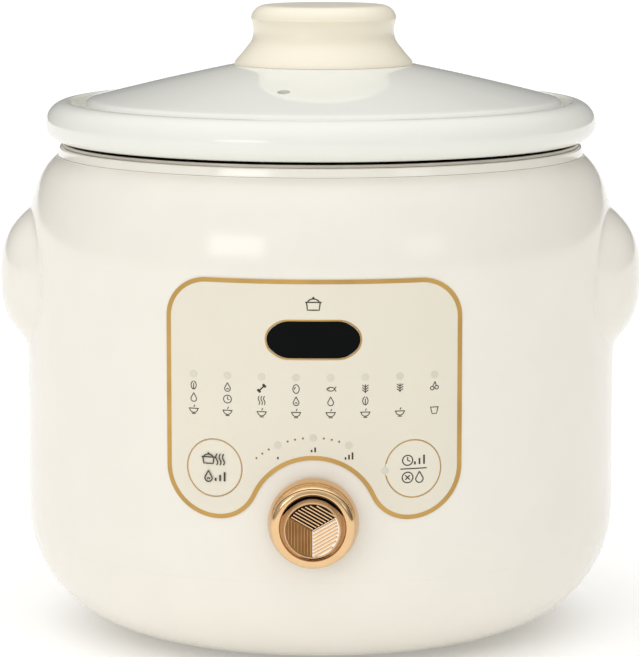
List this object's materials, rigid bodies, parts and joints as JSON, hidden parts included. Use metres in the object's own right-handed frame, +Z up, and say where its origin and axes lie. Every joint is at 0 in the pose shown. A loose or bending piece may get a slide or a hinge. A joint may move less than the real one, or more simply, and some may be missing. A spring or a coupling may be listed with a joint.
{
  "type": "slow cooker",
  "caption": "Round countertop slow cooker with a heated cream housing, lift-out glazed pot, inset lid with a flat knob, touch keys and a turning, pressing selector knob.",
  "frame": {"origin": "on the cooker's centre line, level with the soles of its feet", "axes": "+Z up along the pot's axis, -Y towards the control panel and selector knob, +X to the right as seen from the front"},
  "size_m": [0.3044, 0.2998, 0.2967],
  "materials": {
    "cream_enamel": "moulded plastic, gloss, warm cream",
    "foot_rubber": "matte",
    "steel": "zinc plated",
    "cream_collar": "gloss",
    "chamber_steel": "aluminised sheet",
    "shield_steel": "galvanised sheet",
    "heater_wrap": "woven glass sleeve",
    "heater_plate": "cast, matte",
    "sensor_aluminium": "satin",
    "fuse_sleeve": "woven sleeve",
    "white_glaze": "glazed ceramic, gloss",
    "knob_cream": "gloss",
    "dark_nylon": "matte",
    "seal_silicone": "matte",
    "beige_film": "satin",
    "smoked_lens": "gloss",
    "circuit_board": "satin",
    "display_black": "matte",
    "lamp_white": "clear epoxy",
    "clear_acrylic": "clear",
    "key_beige": "satin",
    "switch_black": "matte",
    "encoder_metal": "nickel plated",
    "shaft_metal": "satin",
    "rose_gold": "satin, anodised rose gold",
    "relay_blue": "satin",
    "transformer_yellow": "tape wound",
    "capacitor_yellow": "satin",
    "fuse_glass": "clear tube with metal ends",
    "terminal_green": "satin",
    "pin_brass": "plated"
  },
  "bodies": {
    "base": {"outer_shell": "cream_enamel", "base_cover": "cream_enamel", "rubber_feet": "foot_rubber", "base_screws": "steel", "collar_ring": "cream_collar", "heating_chamber": "chamber_steel", "heat_shield": "shield_steel", "band_heater": "heater_wrap", "bottom_heater": "heater_plate", "sensor_bracket": "steel", "sensor_spring": "steel", "thermal_fuse": "fuse_sleeve", "panel_film": "beige_film", "display_lens": "smoked_lens", "display_board": "circuit_board", "display_module": "display_black", "indicator_lamps": "lamp_white", "light_guides": "clear_acrylic", "tact_switches": "switch_black", "encoder_body": "encoder_metal", "encoder_nut": "steel", "dial_base_ring": "rose_gold", "power_board": "circuit_board", "board_screws": "steel", "relay": "relay_blue", "transformer": "transformer_yellow", "film_capacitor": "capacitor_yellow", "board_fuse": "fuse_glass", "terminal_block": "terminal_green", "power_inlet": "switch_black", "inlet_pins": "pin_brass"},
    "pot": {"inner_pot": "white_glaze"},
    "lid": {"lid": "white_glaze", "lid_knob": "knob_cream", "lid_knob_insert": "dark_nylon", "lid_knob_washer": "seal_silicone", "lid_knob_screw": "steel"},
    "sensor": {"sensor_cap": "sensor_aluminium"},
    "rotor": {"encoder_rotor": "dark_nylon"},
    "knob": {"encoder_shaft": "shaft_metal", "knob_cap": "rose_gold", "knob_core": "dark_nylon"},
    "keep_warm": {"keep_warm_key": "key_beige"},
    "timer": {"timer_key": "key_beige"}
  },
  "joints": [
    {"name": "pot_lift", "type": "slide", "parent": "base", "child": "pot", "axis": [0, 0, 1], "range_m": [0, 0.2]},
    {"name": "lid_lift", "type": "slide", "parent": "pot", "child": "lid", "axis": [0, 0, 1], "range_m": [0, 0.1]},
    {"name": "sensor_press", "type": "slide", "parent": "base", "child": "sensor", "axis": [0, 0, 1], "range_m": [-0.003, 0], "stiffness_N_per_m": 300, "springref_m": 0.002, "deforming": ["sensor_spring"]},
    {"name": "dial_turn", "type": "hinge", "parent": "base", "child": "rotor", "pos_m": [0, -0.14, 0.0757], "axis": [0, -1, 0], "continuous": true},
    {"name": "dial_press", "type": "slide", "parent": "rotor", "child": "knob", "axis": [0, 1, 0], "range_m": [0, 0.0005], "stiffness_N_per_m": 2000, "springref_m": -0.0005},
    {"name": "keep_warm_press", "type": "slide", "parent": "base", "child": "keep_warm", "axis": [0.314, 0.9494, 0], "range_m": [0, 0.00045], "stiffness_N_per_m": 2000, "springref_m": -0.0005},
    {"name": "timer_press", "type": "slide", "parent": "base", "child": "timer", "axis": [-0.314, 0.9494, 0], "range_m": [0, 0.00045], "stiffness_N_per_m": 2000, "springref_m": -0.0005}
  ]
}
